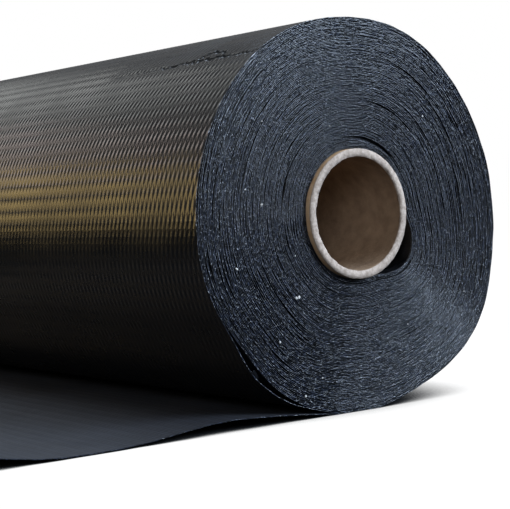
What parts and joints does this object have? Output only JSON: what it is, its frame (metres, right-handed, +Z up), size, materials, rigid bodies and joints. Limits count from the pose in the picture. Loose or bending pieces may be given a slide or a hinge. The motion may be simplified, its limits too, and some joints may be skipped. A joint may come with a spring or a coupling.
{
  "type": "roll of damp proof course",
  "caption": "Roll of black embossed polythene damp proof course on a cardboard core, lying on its side with its loose end run out over the floor.",
  "frame": {"origin": "on the axis of the core's bore, half way along the roll", "axes": "+Y along the roll from its near end to its far end, +Z up from the floor it lies on, tail towards -X"},
  "size_m": [0.4692, 0.607, 0.2645],
  "materials": {
    "polythene": "semi-gloss, finely embossed",
    "cardboard": "matt spiral-wound cardboard"
  },
  "bodies": {
    "root": {"dpc_roll": "polythene", "core_tube": "cardboard"}
  },
  "joints": []
}
